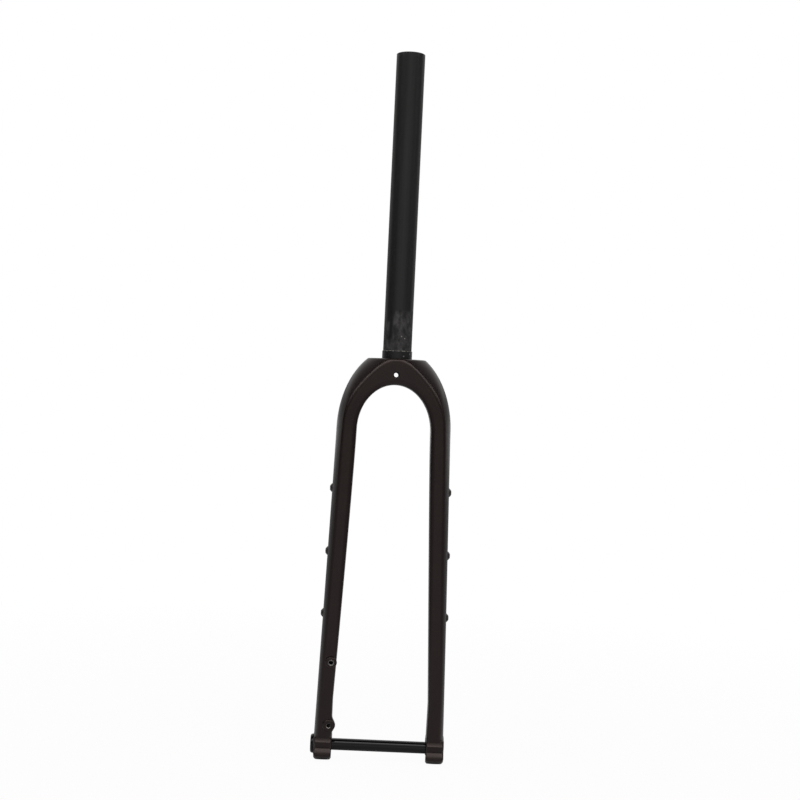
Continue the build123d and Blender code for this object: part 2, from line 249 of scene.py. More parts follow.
# Black anodised aluminium ring with dried glue on its upper edge: neutral black, pale ragged rim and flecks
flecks = {
    "spots": [(6.4 * mm, -13.6 * mm, 2.7 * mm), (12.4 * mm, -8.4 * mm, 5.2 * mm), (14.2 * mm, -4.8 * mm, 6.4 * mm)],
    "size": 0.75 * mm, "soft": (1.4, 0.7), "rim": (6.3 * mm, 8.0 * mm),
}
glued, tree, shader, place = startMaterial("blackAnodisedWithGlue", {"Specular IOR Level": 0.35})
along = addNode(tree, "ShaderNodeSeparateXYZ", {}, {"Vector": place})
crumbs = addNode(tree, "ShaderNodeTexNoise", {"Scale": 1 / (2.6 * mm), "Detail": 5.0, "Roughness": 0.7},
                 {"Vector": place})
edge = addNode(tree, "ShaderNodeMapRange", {"From Min": flecks["rim"][0], "From Max": flecks["rim"][1],
                                            "To Min": -0.22, "To Max": 0.16}, {"Value": along.outputs["Z"]})
level = addNode(tree, "ShaderNodeMath", {"operation": "ADD"}, {0: crumbs.outputs["Fac"], 1: edge.outputs["Result"]})
tone = addNode(tree, "ShaderNodeValToRGB", {"stops": [(0.55, toLinear("#0e0d0d")), (0.66, toLinear("#7d7a76"))]},
               {"Fac": level.outputs["Value"]})
paste = tone.outputs["Color"]
for spot in flecks["spots"]:
    far = addNode(tree, "ShaderNodeVectorMath", {"operation": "DISTANCE", 1: spot}, {0: place})
    dot = addNode(tree, "ShaderNodeMapRange", {"From Min": flecks["size"] * flecks["soft"][0],
                                               "From Max": flecks["size"] * flecks["soft"][1]},
                  {"Value": far.outputs["Value"]})
    paste = addNode(tree, "ShaderNodeMix", {"data_type": "RGBA", 7: toLinear("#5c5955")},
                    {0: dot.outputs["Result"], 6: paste}).outputs[2]
tree.links.new(paste, shader.inputs["Base Color"])
rub = addNode(tree, "ShaderNodeMapRange", {"To Min": 0.25, "To Max": 0.5}, {"Value": crumbs.outputs["Fac"]})
tree.links.new(rub.outputs["Result"], shader.inputs["Roughness"])

# Black anodised aluminium, turned and polished: deep black, crisp thin highlights
anodised, tree, shader, place = startMaterial(
    "blackAnodisedAluminium", {"Base Color": toLinear("#040404"), "Specular IOR Level": 0.29})
grain = addNode(tree, "ShaderNodeTexNoise", {"Scale": 1 / (0.8 * mm), "Detail": 2.0}, {"Vector": place})
rub = addNode(tree, "ShaderNodeMapRange", {"To Min": 0.06, "To Max": 0.09}, {"Value": grain.outputs["Fac"]})
tree.links.new(rub.outputs["Result"], shader.inputs["Roughness"])

# Dark plated steel: dull grey metal with a slight grain
steel, tree, shader, place = startMaterial("darkPlatedSteel", {"Metallic": 1.0})
grain = addNode(tree, "ShaderNodeTexNoise", {"Scale": 1 / (0.9 * mm), "Detail": 3.0}, {"Vector": place})
tone = addNode(tree, "ShaderNodeValToRGB", {"stops": [(0.35, toLinear("#3a3736")), (0.7, toLinear("#6e6b69"))]},
               {"Fac": grain.outputs["Fac"]})
tree.links.new(tone.outputs["Color"], shader.inputs["Base Color"])
rub = addNode(tree, "ShaderNodeMapRange", {"To Min": 0.3, "To Max": 0.5}, {"Value": grain.outputs["Fac"]})
tree.links.new(rub.outputs["Result"], shader.inputs["Roughness"])

# Bare aluminium, dulled: grey metal with a soft grain
dulled, tree, shader, place = startMaterial("dulledAluminium", {"Metallic": 1.0})
grain = addNode(tree, "ShaderNodeTexNoise", {"Scale": 1 / (0.7 * mm), "Detail": 3.0}, {"Vector": place})
tone = addNode(tree, "ShaderNodeValToRGB", {"stops": [(0.3, toLinear("#726f6c")), (0.7, toLinear("#9b9895"))]},
               {"Fac": grain.outputs["Fac"]})
tree.links.new(tone.outputs["Color"], shader.inputs["Base Color"])
rub = addNode(tree, "ShaderNodeMapRange", {"To Min": 0.36, "To Max": 0.55}, {"Value": grain.outputs["Fac"]})
tree.links.new(rub.outputs["Result"], shader.inputs["Roughness"])

# The same aluminium with a painted face: black round a bare, pale mouth
brake = {
    "upper": (-52.0, 6.886, -309.061), "lower": (-52.0, 24.164, -376.895), "normal": (0.0, -0.969058, -0.246833),
    "padRadius": {"upper": 6.0, "lower": 6.6}, "padLength": 12.0, "padEdge": 1.5, "padTaper": 14.0, "padStep": 0.02,
    "insertRadius": 3.2, "insertLength": 11.0, "insertEdge": 0.2, "film": 0.05, "toolPast": 3.0,
    "tap": 2.1, "countersink": 0.5, "threadStart": 0.7, "threadEnd": 0.5, "threadDepth": 0.12, "pitch": 0.8,
    "threadRings": 85, "bareRadius": (2.6, 2.4),
}
painted, tree, shader, place = startMaterial("paintedAluminium", {"Roughness": 0.4})
fromMouth = addNode(tree, "ShaderNodeVectorMath", {"operation": "SUBTRACT", 1: tuple(v * mm for v in brake["lower"])},
                    {0: place})
across = addNode(tree, "ShaderNodeVectorMath", {"operation": "CROSS_PRODUCT", 1: brake["normal"]},
                 {0: fromMouth.outputs["Vector"]})
far = addNode(tree, "ShaderNodeVectorMath", {"operation": "LENGTH"}, {0: across.outputs["Vector"]})
mouth = addNode(tree, "ShaderNodeMapRange", {"From Min": brake["bareRadius"][0] * mm,
                                             "From Max": brake["bareRadius"][1] * mm}, {"Value": far.outputs["Value"]})
tone = addNode(tree, "ShaderNodeMix", {"data_type": "RGBA", 6: toLinear("#140c0b"), 7: toLinear("#b4b0ac")},
               {0: mouth.outputs["Result"]})
tree.links.new(tone.outputs[2], shader.inputs["Base Color"])
tree.links.new(mouth.outputs["Result"], shader.inputs["Metallic"])
print("materials made")


# Crown and legs: one moulding from the left foot over the arch to the right foot
blade = {
    "archDrop": 72.0, "axleDrop": 400.0, "rake": 45.0, "endDrop": 384.6,
    "archHalf": 36.9, "archRise": 45.8, "legWidth": 20.5, "shoulderRise": 83.2,
    "innerEnd": 48.75, "outerEnd": 67.25, "bow": 1.15, "parallelShare": 0.85,
    "crownDepth": 44.0, "depthTop": 38.0, "depthEnd": 25.0, "corner": 5.0,
    "ridgeArch": 0.645, "ridgeEnd": 0.745, "ridgeSwing": 0.0175, "ridgeDip": 0.18,
    "slopeCrown": 44.0, "slopeArch": 57.5, "slopeEnd": 48.0,
    "roundCrown": 9.0, "roundArch": 4.5, "roundEnd": 4.0, "swellStart": 0.15, "swellEnd": 0.55,
    "widest": 0.08, "innerFlat": 0.22, "nose": 0.45, "topEdge": 3.0,
    "socketRadius": 13.95, "socketDepth": 20.6, "ventRadius": 7.0, "toolPast": 5.0,
    "archStations": 361, "legStations": 110, "points": (10, 10, 16, 18, 30, 24, 20),
}
lobe = {"drop": 377.2, "half": 10.2, "height": 3.6, "width": 9.0, "fadeStart": 0.1, "fadeSpan": 0.35}
axleCentre = (0, blade["rake"], -blade["axleDrop"])


def legShare(drop):
    return (drop - blade["archDrop"]) / (blade["axleDrop"] - blade["archDrop"])


def legMiddle(drop):
    # forward sweep: a circle through the arch's foot and the axle, upright where it starts
    length = blade["axleDrop"] - blade["archDrop"]
    radius = (length ** 2 + blade["rake"] ** 2) / (2 * blade["rake"])
    return radius - np.sqrt(radius ** 2 - (drop - blade["archDrop"]) ** 2)


def legDepth(drop):
    return blade["depthTop"] + (blade["depthEnd"] - blade["depthTop"]) * legShare(drop)


def legInner(drop):
    # a slight bow outwards, then parallel to the wheel from parallelShare down
    share = np.clip(legShare(drop) / blade["parallelShare"], 0, 1)
    return blade["archHalf"] + (blade["innerEnd"] - blade["archHalf"]) * share ** blade["bow"]


def legOuter(drop):
    start = blade["archHalf"] + blade["legWidth"]
    return start + (blade["outerEnd"] - start) * np.clip(legShare(drop), 0, None) ** blade["bow"]


def legRidge(drop):
    share = np.sqrt(np.clip(legShare(drop), 0, None))
    return blade["ridgeArch"] + (blade["ridgeEnd"] - blade["ridgeArch"]) * share


def legRound(drop):
    return blade["roundArch"] + (blade["roundEnd"] - blade["roundArch"]) * legShare(drop)


def legSlope(drop):
    return blade["slopeArch"] + (blade["slopeEnd"] - blade["slopeArch"]) * legShare(drop)


def bladeSection(width, depth, ridge, ball, slope):
    # closed outline, x from the inner side outwards and y to the rear: inner flat, rounded corner, rear flat, the
    # ridge's round up to the shoulder's slope, a parabola from there to the widest point, where it runs straight
    # forwards, and two quarter ellipses round the nose; the ridge line is where the round has turned 30 degrees
    slope = np.radians(slope)
    width, depth, ridge, ball, slope = (np.reshape(v, (-1, 1)) for v in (width, depth, ridge, ball, slope))
    rear, nose = depth / 2, blade["nose"] * width
    widest, flatEnd = -blade["widest"] * depth, -blade["innerFlat"] * depth
    corner, quarter = blade["corner"], np.pi / 2
    before, bed = width * ridge - ball / 2, rear - ball * (1 - np.cos(slope))
    after = before + ball * np.sin(slope)
    knee = bed - (width - after) * np.tan(slope)
    flat, round1, face, step, side1, side2, side3 = (np.linspace(0, 1, n, endpoint=False) for n in blade["points"])
    x = [0 * width + 0 * flat,
         corner * (1 - np.cos(round1 * quarter)) + 0 * width,
         corner + (before - corner) * face,
         before + ball * np.sin(slope * step),
         after + (width - after) * (1 - (1 - side1) ** 2),
         nose + (width - nose) * np.cos(side2 * quarter),
         nose - nose * np.sin(side3 * quarter)]
    y = [flatEnd + (rear - corner - flatEnd) * flat,
         rear - corner + corner * np.sin(round1 * quarter),
         rear + 0 * face,
         rear - ball * (1 - np.cos(slope * step)),
         bed * (1 - side1) ** 2 + 2 * knee * side1 * (1 - side1) + widest * side1 ** 2,
         widest - (widest + rear) * np.sin(side2 * quarter),
         flatEnd - (flatEnd + rear) * np.cos(side3 * quarter)]
    return np.concatenate(x, axis=1), np.concatenate(y, axis=1)


def sectionGrid(inner, outer, middle, depth, ridge, ball, slope):
    # each outline stands on the line from its inner to its outer point, both given as X and Z
    across = outer - inner
    width = np.linalg.norm(across, axis=1)
    x, y = bladeSection(width, depth, ridge, ball, slope)
    unit = across / width[:, None]
    return np.stack([inner[:, :1] + unit[:, :1] * x, np.reshape(middle, (-1, 1)) - y,
                     inner[:, 1:] + unit[:, 1:] * x], axis=-1)


def legGrid(side, drops):
    inner = np.stack([side * legInner(drops), -drops], axis=1)
    outer = np.stack([side * legOuter(drops), -drops], axis=1)
    return sectionGrid(inner, outer, legMiddle(drops), legDepth(drops), legRidge(drops), legRound(drops),
                       legSlope(drops))


def brakeLobe(grid, drops):
    # the inner side swells by a squared cosine along the leg, fading to the front and towards the ridge
    swell = np.cos(np.clip((drops - lobe["drop"]) / lobe["half"], -1, 1) * np.pi / 2)[:, None] ** 2 * lobe["height"]
    inside = np.clip(1 - (-grid[..., 0] - legInner(drops)[:, None]) / lobe["width"], 0, 1)
    back = (legMiddle(drops)[:, None] - grid[..., 1]) / legDepth(drops)[:, None]
    behind = np.clip((back + lobe["fadeStart"]) / lobe["fadeSpan"], 0, 1)
    made = grid.copy()
    made[..., 0] += swell * inside * behind ** 2 * (3 - 2 * behind)
    return made


def archGrid():
    # inner and outer points run on two ellipses about one centre, and the depth grows towards the top; the ridge
    # swings out to the crown and dips on the way, and its round and slope pass smoothly to the crown's
    turn = np.linspace(np.pi, 0, blade["archStations"])[1:-1]
    cos, sin = np.cos(turn), np.sin(turn)
    inner = np.stack([blade["archHalf"] * cos, blade["archRise"] * sin - blade["archDrop"]], axis=1)
    outerHalf = blade["archHalf"] + blade["legWidth"]
    outer = np.stack([outerHalf * cos, blade["shoulderRise"] * sin - blade["archDrop"]], axis=1)
    depth = blade["depthTop"] + (blade["crownDepth"] - blade["depthTop"]) * sin
    swing, dip = blade["ridgeSwing"] * (1 - np.cos(2 * turn)), blade["ridgeDip"] * np.sin(2 * turn) ** 2 * sin
    share = np.clip((sin - blade["swellStart"]) / (blade["swellEnd"] - blade["swellStart"]), 0, 1)
    share = share ** 2 * (3 - 2 * share)
    ball = blade["roundArch"] + (blade["roundCrown"] - blade["roundArch"]) * share
    slope = blade["slopeArch"] + (blade["slopeCrown"] - blade["slopeArch"]) * share
    return sectionGrid(inner, outer, 0 * turn, depth, blade["ridgeArch"] + swing - dip, ball, slope)


def flattenTop(grid):
    # the part above the race face is pressed on to it, and a ball of radius topEdge rolls along the edge: with a the
    # angle between the wall's normal and straight up, its arc starts topEdge * tan(a / 2) from the edge on both faces
    ball = blade["topEdge"]
    normal = np.cross(np.gradient(grid, axis=0), np.roll(grid, -1, 1) - np.roll(grid, 1, 1))
    normal /= np.linalg.norm(normal, axis=2, keepdims=True) + 1e-12
    normal *= np.sign(np.sum(normal[..., 1] * grid[..., 1]))
    level = np.linalg.norm(normal[..., :2], axis=2)
    angle = np.arctan2(level, np.clip(normal[..., 2], -0.2, None))
    out = normal[..., :2] / (level[..., None] + 1e-9)
    reach = ball * np.tan(angle / 2) + 1e-9
    share = np.clip(1 + grid[..., 2] / (np.sin(angle) + 1e-9) / reach, 0, 1)
    left = angle * (1 - share)
    along = reach * share * np.cos(angle) - ball * (np.sin(angle) - np.sin(left))
    up = -reach * share * np.sin(angle) - ball * (np.cos(angle) - np.cos(left))
    made = grid.copy()
    made[..., :2] += along[..., None] * out
    made[..., 2] = np.minimum(np.minimum(grid[..., 2], 0) + up, 0)
    return made


legDrops = np.linspace(blade["endDrop"], blade["archDrop"], blade["legStations"])
leftLeg = brakeLobe(legGrid(-1, legDrops), legDrops)
moulding = gridMesh("moulding", flattenTop(np.concatenate([leftLeg, archGrid(), legGrid(1, legDrops[::-1])])))

sides = {"left": -1, "right": 1}
cage = {
    "drops": {"upper": 132.0, "middle": 196.0, "lower": 260.0}, "sink": 0.5,
    "headRadius": 4.75, "headHeight": 2.75, "headFlat": 1.8, "rim": 0.35, "dome": 1.45, "domeRings": 16,
    "shank": 2.5, "length": 10.0, "tipEdge": 0.4, "socket": 3.0, "socketDepth": 1.7, "socketEdge": 0.2,
    "spotRadius": 5.5, "spotPast": 12.0, "holeRadius": 4.2, "holeDepth": 12.0, "holePast": 1.0,
}


def cageSeat(side, drop):
    drop = np.float64(drop)
    return (side * (legOuter(drop) - cage["sink"]), legMiddle(drop) + legDepth(drop) * blade["widest"], -drop)


# the brake pads join the left leg: cones that narrow into it, with a rounded rim
pads = []
for level, radius in brake["padRadius"].items():
    shrink = math.tan(math.radians(brake["padTaper"]))
    profile = np.concatenate([
        [[radius - brake["padLength"] * shrink, -brake["padLength"]]],
        [[radius - brake["padEdge"] * shrink - brake["padStep"], -brake["padEdge"]]],
        arc(radius - brake["padEdge"], -brake["padEdge"], brake["padEdge"], 0, 90, 10)])
    pads.append(gridMesh("pad", spun(profile, brake[level], brake["normal"], (1, 0, 0), 72)))
moulding = carve(moulding, pads, "UNION")

# the fender hole runs straight through the crown and, narrower, through the steerer's foot
fender = {
    "radius": 2.95, "tubeRadius": 2.3, "mouth": (0, -22, -16), "axis": (0, 44, 0), "tool": (-20, 70),
    "sink": 0.15, "sinkPast": 0.1, "sinkDepth": 0.6, "sinkInset": 0.1,
}
profile = np.array([[fender["radius"] - fender["sinkInset"], fender["sinkDepth"]],
                    [fender["radius"] + fender["sink"], -fender["sinkPast"]]])
mouth = gridMesh("mouth", spun(profile, fender["mouth"], fender["axis"], (1, 0, 0), 64))
tools = [rod(blade["socketRadius"], -blade["socketDepth"], blade["toolPast"], (0, 0, 0), (0, 0, 1), 128),
         rod(blade["ventRadius"], -blade["archDrop"], blade["toolPast"], (0, 0, 0), (0, 0, 1), 72),
         rod(fender["radius"], *fender["tool"], fender["mouth"], fender["axis"]), mouth]
for level in brake["padRadius"]:
    tools.append(rod(brake["insertRadius"] + brake["film"], -brake["insertLength"], brake["toolPast"], brake[level],
                     brake["normal"]))
for side in sides.values():
    for drop in cage["drops"].values():
        seat = cageSeat(side, drop)
        tools.append(rod(cage["spotRadius"], 0, cage["spotPast"], seat, (side, 0, 0)))
        tools.append(rod(cage["holeRadius"], -cage["holeDepth"], cage["holePast"], seat, (side, 0, 0)))
addPiece("crownAndLegs", carve(moulding, tools), paint, "crown_and_legs", 28)

# Steerer: a straight tube with a ground-down foot in the crown, its top edges broken by a small round
steerer = {
    "radius": 14.3, "bore": 11.5, "foot": 13.9, "top": 305.0, "shoulder": 8.0, "bottom": -20.6, "edge": 0.5,
    "rings": 60, "boreRing": 100.0,
}
rimHeight = steerer["top"] - steerer["edge"]
rise = np.linspace(steerer["shoulder"], rimHeight, steerer["rings"])
profile = np.concatenate([
    [[steerer["foot"], steerer["bottom"]], [steerer["foot"], steerer["shoulder"]]],
    np.stack([0 * rise + steerer["radius"], rise], axis=1),
    arc(steerer["radius"] - steerer["edge"], rimHeight, steerer["edge"], 15, 90, 6),
    arc(steerer["bore"] + steerer["edge"], rimHeight, steerer["edge"], 90, 180, 7),
    [[steerer["bore"], steerer["boreRing"]], [steerer["bore"], steerer["bottom"]]]])
tube = gridMesh("tube", spun(profile, (0, 0, 0), (0, 0, 1), (1, 0, 0), 128), ringLoop=True)
tube = carve(tube, [rod(fender["tubeRadius"], *fender["tool"], fender["mouth"], fender["axis"])])
addPiece("steererTube", tube, satin, "steerer_tube")

# Crown race seat: a thin ring with broken edges
ring = {"inner": 13.95, "outer": 15.0, "height": 8.0, "edge": 0.35, "footEdge": 0.15}
profile = np.concatenate([
    [[ring["inner"], 0.0], [ring["outer"] - ring["footEdge"], 0.0], [ring["outer"], ring["footEdge"]]],
    arc(ring["outer"] - ring["edge"], ring["height"] - ring["edge"], ring["edge"], 0, 90, 7),
    [[ring["inner"], ring["height"]]]])
seat = gridMesh("seat", spun(profile, (0, 0, 0), (0, 0, 1), (1, 0, 0), 128), ringLoop=True)
addPiece("raceSeat", seat, glued, "crown_race_seat")

# Dropouts: a round boss with two ledges behind, on a neck that carries the leg's section down into it
boss = {
    "inner": {"left": 48.3, "right": 48.75}, "outer": {"left": 66.5, "right": 67.25},
    "radius": 15.39, "innerEdge": 2.2, "outerEdge": 3.0, "crown": 0.4, "around": 420, "rings": (9, 24, 13),
    "neckEnd": 395.0, "neckStations": 12, "faceRadius": 10.4, "face": 67.25,
    "rear": [(12.5, 9.2), (11, 14.4), (10, 14.85), (9, 15.15), (8, 15.6), (7, 16.13), (6, 16.75), (5.3, 17.25),
             (4.95, 17.3), (4.5, 17.1), (2, 16.1), (-1.2, 14.85), (-1.5, 14.95), (-2.5, 15.62), (-3.5, 16.28),
             (-4.5, 16.92), (-5.5, 17.48), (-6.5, 17.9), (-7.7, 18.1), (-9.2, 17.75), (-11, 15.8), (-13, 12.2),
             (-14.6, 7.8), (-15.15, 3.6), (-15.35, 0)],  # height and distance behind the axle
    "seat": 50.0, "seatRadius": 10.5, "seatPast": 2.0, "slotDrop": 20.0,
    "bore": 6.05, "nutBore": 8.7, "flangeBore": 10.7, "flange": 2.0, "boreTool": (40.0, 80.0),
}


def bossGrid(side, inner, outer):
    # radius at each angle comes from the outline seen from the side, and at each ring less the round of the end edges
    turn = np.linspace(-np.pi, np.pi, boss["around"], endpoint=False)
    height, back = np.array(boss["rear"])[::-1].T
    outline = np.interp(turn, np.arctan2(height, back), np.hypot(height, back), boss["radius"], boss["radius"])
    outline = (np.roll(outline, 1) + 2 * outline + np.roll(outline, -1)) / 4
    inEdge, outEdge = boss["innerEdge"], boss["outerEdge"]
    inRings, rings, outRings = boss["rings"]
    place = np.concatenate([inner + inEdge * (1 - np.cos(np.linspace(0, np.pi / 2, inRings)[:-1])),
                            np.linspace(inner + inEdge, outer - outEdge, rings),
                            outer - outEdge * (1 - np.sin(np.linspace(0, np.pi / 2, outRings)[1:]))])
    first, last = np.clip(1 - (place - inner) / inEdge, 0, 1), np.clip(1 - (outer - place) / outEdge, 0, 1)
    inset = inEdge * (1 - np.sqrt(1 - first ** 2)) + outEdge * (1 - np.sqrt(1 - last ** 2))
    inset += boss["crown"] * ((place - inner) / (outer - inner) * 2 - 1) ** 2
    radius = outline - inset[:, None]
    return np.stack([np.repeat(side * place[:, None], len(turn), 1), blade["rake"] - radius * np.cos(turn),
                     -blade["axleDrop"] + radius * np.sin(turn)], axis=-1)


for name, side in sides.items():
    inner, outer, across = boss["inner"][name], boss["outer"][name], (side, 0, 0)
    neck = gridMesh("neck", legGrid(side, np.linspace(blade["endDrop"], boss["neckEnd"], boss["neckStations"])))
    face = rod(boss["faceRadius"], boss["seat"], boss["face"], axleCentre, across, 128)
    body = carve(gridMesh("boss", bossGrid(side, inner, outer)), [neck, face], "UNION")
    # the hub's end slides up a slot into its round seat
    slotX = np.array([boss["seat"], inner - boss["seatPast"]]) * side
    slotY = blade["rake"] + boss["seatRadius"] * np.array([-1, 1, 1, -1])
    slotZ = -blade["axleDrop"] - boss["slotDrop"] * np.array([0, 0, 1, 1])
    slot = np.stack([np.broadcast_to(v, (2, 4)) for v in (slotX[:, None], slotY, slotZ)], axis=-1)
    tools = [rod(boss["seatRadius"], inner - boss["seatPast"], boss["seat"], axleCentre, across, 128),
             gridMesh("slot", slot),
             rod(boss["nutBore"] if side > 0 else boss["bore"], *boss["boreTool"], axleCentre, across, 96)]
    if side > 0:
        tools.append(rod(boss["flangeBore"], boss["face"] - boss["flange"], boss["boreTool"][1], axleCentre, across,
                         96))
    addPiece(f"{name}Dropout", carve(body, tools), paint, f"{name}_dropout", 28)

# Thru-axle: a turned rod with a low head and a hexagon socket at the left
axle = {
    "radius": 6.0, "start": 67.25, "end": 66.25, "endEdge": 1.0, "headRadius": 9.65, "headHeight": 3.0,
    "headEdge": 2.2, "underEdge": 0.3, "socket": 6.0, "socketDepth": 7.0, "socketEdge": 0.3, "socketMouth": 4.1,
}
headTop = axle["start"] + axle["headHeight"]
profile = np.concatenate([
    [[axle["socket"] / 2, headTop - axle["socketDepth"]], [axle["socket"] / 2, headTop - axle["socketEdge"]],
     [axle["socketMouth"], headTop]],
    arc(axle["headRadius"] - axle["headEdge"], headTop - axle["headEdge"], axle["headEdge"], 90, 0, 9),
    arc(axle["headRadius"] - axle["underEdge"], axle["start"] + axle["underEdge"], axle["underEdge"], 0, -90, 4),
    [[axle["radius"], axle["start"]], [axle["radius"], 0.0], [axle["radius"], -axle["end"] + axle["endEdge"]],
     [axle["radius"] - axle["endEdge"], -axle["end"]]]])
grid = spun(profile, axleCentre, (-1, 0, 0), (0, 0, 1), 96, 2, axle["socket"])
addPiece("thruAxle", gridMesh("axle", grid), anodised, "thru_axle")

# Axle nut: a plain-bored sleeve with its flange sunk in the right dropout
nut = {"radius": 8.65, "flange": 10.65, "flangeHeight": 2.0, "bore": 6.05, "start": 50.0, "end": 67.25, "edge": 0.4,
       "mouth": 0.6}
profile = np.array([
    [nut["bore"], nut["start"]], [nut["radius"] - nut["edge"], nut["start"]],
    [nut["radius"], nut["start"] + nut["edge"]], [nut["radius"], nut["end"] - nut["flangeHeight"]],
    [nut["flange"], nut["end"] - nut["flangeHeight"]], [nut["flange"], nut["end"] - nut["edge"]],
    [nut["flange"] - nut["edge"], nut["end"]], [nut["bore"] + nut["mouth"], nut["end"]],
    [nut["bore"], nut["end"] - nut["mouth"]]])
grid = spun(profile, axleCentre, (1, 0, 0), (0, 0, 1), 96)
addPiece("axleNut", gridMesh("nut", grid, ringLoop=True), anodised, "axle_nut")

# Cage bolts: domed heads with a hexagon socket; the head falls from its flat to its rim by a power of the distance
share, top = np.linspace(0, 1, cage["domeRings"]), cage["headHeight"]
profile = np.concatenate([
    [[cage["socket"] / 2, top - cage["socketDepth"]], [cage["socket"] / 2, top - cage["socketEdge"]]],
    np.stack([cage["headFlat"] + (cage["headRadius"] - cage["headFlat"]) * share,
              cage["rim"] + (top - cage["rim"]) * (1 - share ** cage["dome"])], axis=1),
    [[cage["headRadius"], 0.0], [cage["shank"], 0.0], [cage["shank"], -cage["length"] + cage["tipEdge"]],
     [cage["shank"] - cage["tipEdge"], -cage["length"]]]])
for name, side in sides.items():
    for level, drop in cage["drops"].items():
        grid = spun(profile, cageSeat(side, drop), (side, 0, 0), (0, 0, 1), 72, 2, cage["socket"])
        addPiece(f"cageBolt{name.title()}{level.title()}", gridMesh("bolt", grid), steel,
                 f"cage_bolt_{name}_{level}")
        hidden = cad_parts[f"cage_insert_{name}_{level}"].data.materials  # stays as it is, under its bolt
        hidden.clear()
        hidden.append(dulled)

# Brake inserts: sleeves with a countersunk mouth and a thread
depth = np.linspace(-brake["threadStart"], -brake["insertLength"] + brake["threadEnd"], brake["threadRings"])
thread = brake["tap"] + brake["threadDepth"] * np.abs((depth / brake["pitch"]) % 1 * 2 - 1)
profile = np.concatenate([
    np.stack([thread, depth], axis=1),
    [[brake["tap"], -brake["insertLength"]], [brake["insertRadius"], -brake["insertLength"]],
     [brake["insertRadius"], -brake["insertEdge"]], [brake["insertRadius"] - brake["insertEdge"], 0.0],
     [brake["tap"] + brake["countersink"], 0.0]]])
for level, material in (("upper", dulled), ("lower", painted)):
    grid = spun(profile, brake[level], brake["normal"], (1, 0, 0), 64)
    addPiece(f"brakeInsert{level.title()}", gridMesh("insert", grid, ringLoop=True), material,
             f"brake_insert_{level}")
print("pieces made")

# Camera: behind the fork, a little to the left, with the fork leaning to the right
view = {"place": (-0.0216, -1.43265, -0.0315), "turn": -1.065, "tilt": 89.627, "lean": 2.681, "lens": 64.3,
        "sensor": 36.0}
lens = bpy.data.cameras.new("camera")
lens.lens, lens.sensor_width = view["lens"], view["sensor"]
camera = bpy.data.objects.new("camera", lens)
bpy.context.scene.collection.objects.link(camera)
camera.matrix_world = (Matrix.Translation(view["place"]) @ Matrix.Rotation(math.radians(view["turn"]), 4, "Z")
                       @ Matrix.Rotation(math.radians(view["tilt"]), 4, "X")
                       @ Matrix.Rotation(math.radians(view["lean"]), 4, "Z"))
bpy.context.scene.camera = camera

# Floor: matt white, just under the dropouts; the camera sees it nearly as white as the backdrop, with a faint shadow
# near the fork, and shiny surfaces see a paper with dark sides
ground = {"half": 8.0, "under": 0.3 * mm, "fade": (0.5, 1.2), "glow": (0.96, 1.0), "sides": (0.1, 0.3),
          "paper": (0.68, 0.44)}
low, half = cadBox[0][2] - ground["under"], ground["half"]
floorMesh = bpy.data.meshes.new("floor")
floorMesh.from_pydata([(-half, -half, low), (half, -half, low), (half, half, low), (-half, half, low)], [],
                      [(0, 1, 2, 3)])
floor = bpy.data.objects.new("floor", floorMesh)
bpy.context.scene.collection.objects.link(floor)
white, tree, shader, place = startMaterial(
    "mattWhiteFloor", {"Base Color": toLinear("#cccccc"), "Roughness": 0.9, "Specular IOR Level": 0.1})
ray = addNode(tree, "ShaderNodeLightPath")
glow = addNode(tree, "ShaderNodeEmission", {"Color": (1, 1, 1, 1), "Strength": 1.0})
far = addNode(tree, "ShaderNodeVectorMath", {"operation": "LENGTH"}, {0: place})
keep = addNode(tree, "ShaderNodeMapRange", {"From Min": ground["fade"][0], "From Max": ground["fade"][1],
                                            "To Min": ground["glow"][0], "To Max": ground["glow"][1]},
               {"Value": far.outputs["Value"]})
part = addNode(tree, "ShaderNodeMath", {"operation": "MULTIPLY"},
               {0: ray.outputs["Is Camera Ray"], 1: keep.outputs["Result"]})
mixed = addNode(tree, "ShaderNodeMixShader", {},
                {0: part.outputs["Value"], 1: shader.outputs["BSDF"], 2: glow.outputs["Emission"]})
along = addNode(tree, "ShaderNodeSeparateXYZ", {}, {"Vector": place})
aside = addNode(tree, "ShaderNodeMath", {"operation": "ABSOLUTE"}, {0: along.outputs["X"]})
shade = addNode(tree, "ShaderNodeMapRange", {"From Min": ground["sides"][0], "From Max": ground["sides"][1],
                                             "To Min": ground["paper"][0], "To Max": ground["paper"][1]},
                {"Value": aside.outputs["Value"]})
mirrored = addNode(tree, "ShaderNodeBsdfDiffuse", {}, {"Color": shade.outputs["Result"]})
mixed = addNode(tree, "ShaderNodeMixShader", {},
                {0: ray.outputs["Is Glossy Ray"], 1: mixed.outputs["Shader"], 2: mirrored.outputs["BSDF"]})
tree.links.new(mixed.outputs["Shader"], tree.nodes["Material Output"].inputs["Surface"])
floorMesh.materials.append(white)

